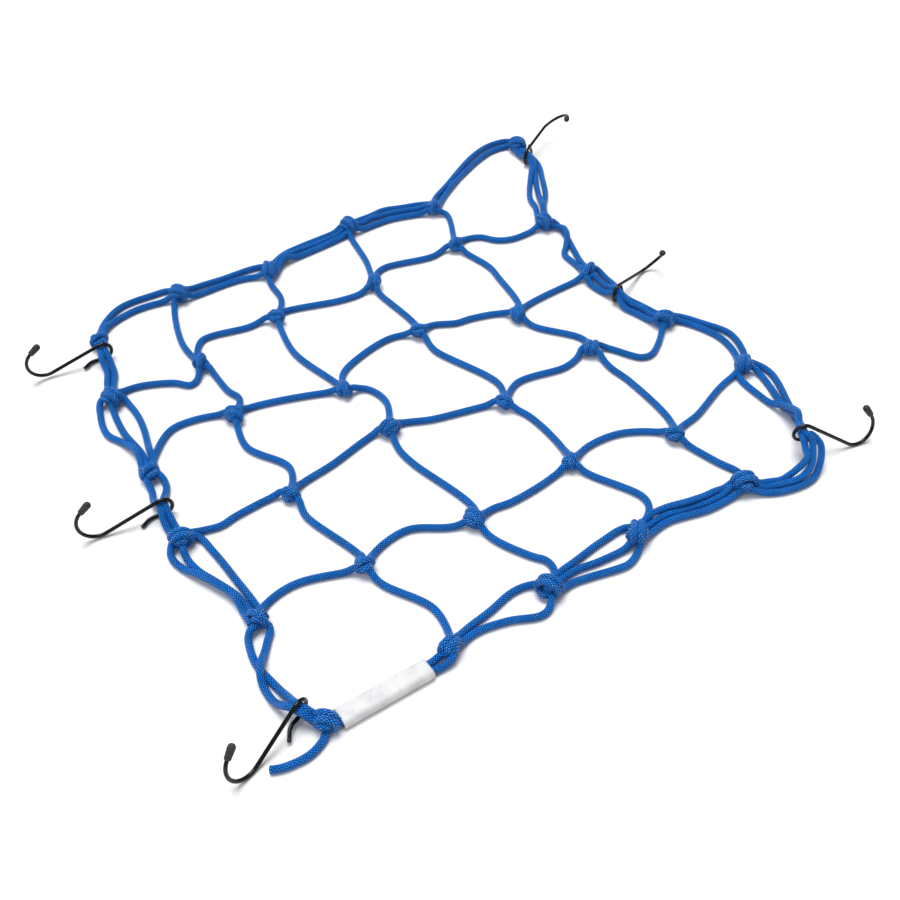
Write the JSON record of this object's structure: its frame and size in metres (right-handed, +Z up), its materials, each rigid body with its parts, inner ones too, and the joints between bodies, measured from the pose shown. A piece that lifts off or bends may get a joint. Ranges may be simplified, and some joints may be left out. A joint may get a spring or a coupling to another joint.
{
  "type": "elastic cargo net",
  "caption": "Square knotted net of elastic cord with a doubled border, open wire hooks with rubber tips and a wrapped label.",
  "frame": {"origin": "centre of the bounding box, on the surface the net lies on", "axes": "+Z up off the surface, +X along the front edge from the near left corner to the near right one, +Y from the front edge to the back edge"},
  "size_m": [0.5548, 0.4668, 0.034],
  "materials": {
    "blue_cord": "braided, satin",
    "white_label": "woven, matt",
    "black_wire": "gloss black coat",
    "dark_rubber": "matt"
  },
  "bodies": {
    "root": {"net": "blue_cord", "label": "white_label", "hook_back_left": "black_wire", "hook_left": "black_wire", "hook_front_left": "black_wire", "hook_front_right": "black_wire", "hook_right": "black_wire", "hook_back_right": "black_wire", "tip_back_left": "dark_rubber", "tip_left": "dark_rubber", "tip_front_left": "dark_rubber", "tip_front_right": "dark_rubber", "tip_right": "dark_rubber", "tip_back_right": "dark_rubber"}
  },
  "joints": []
}
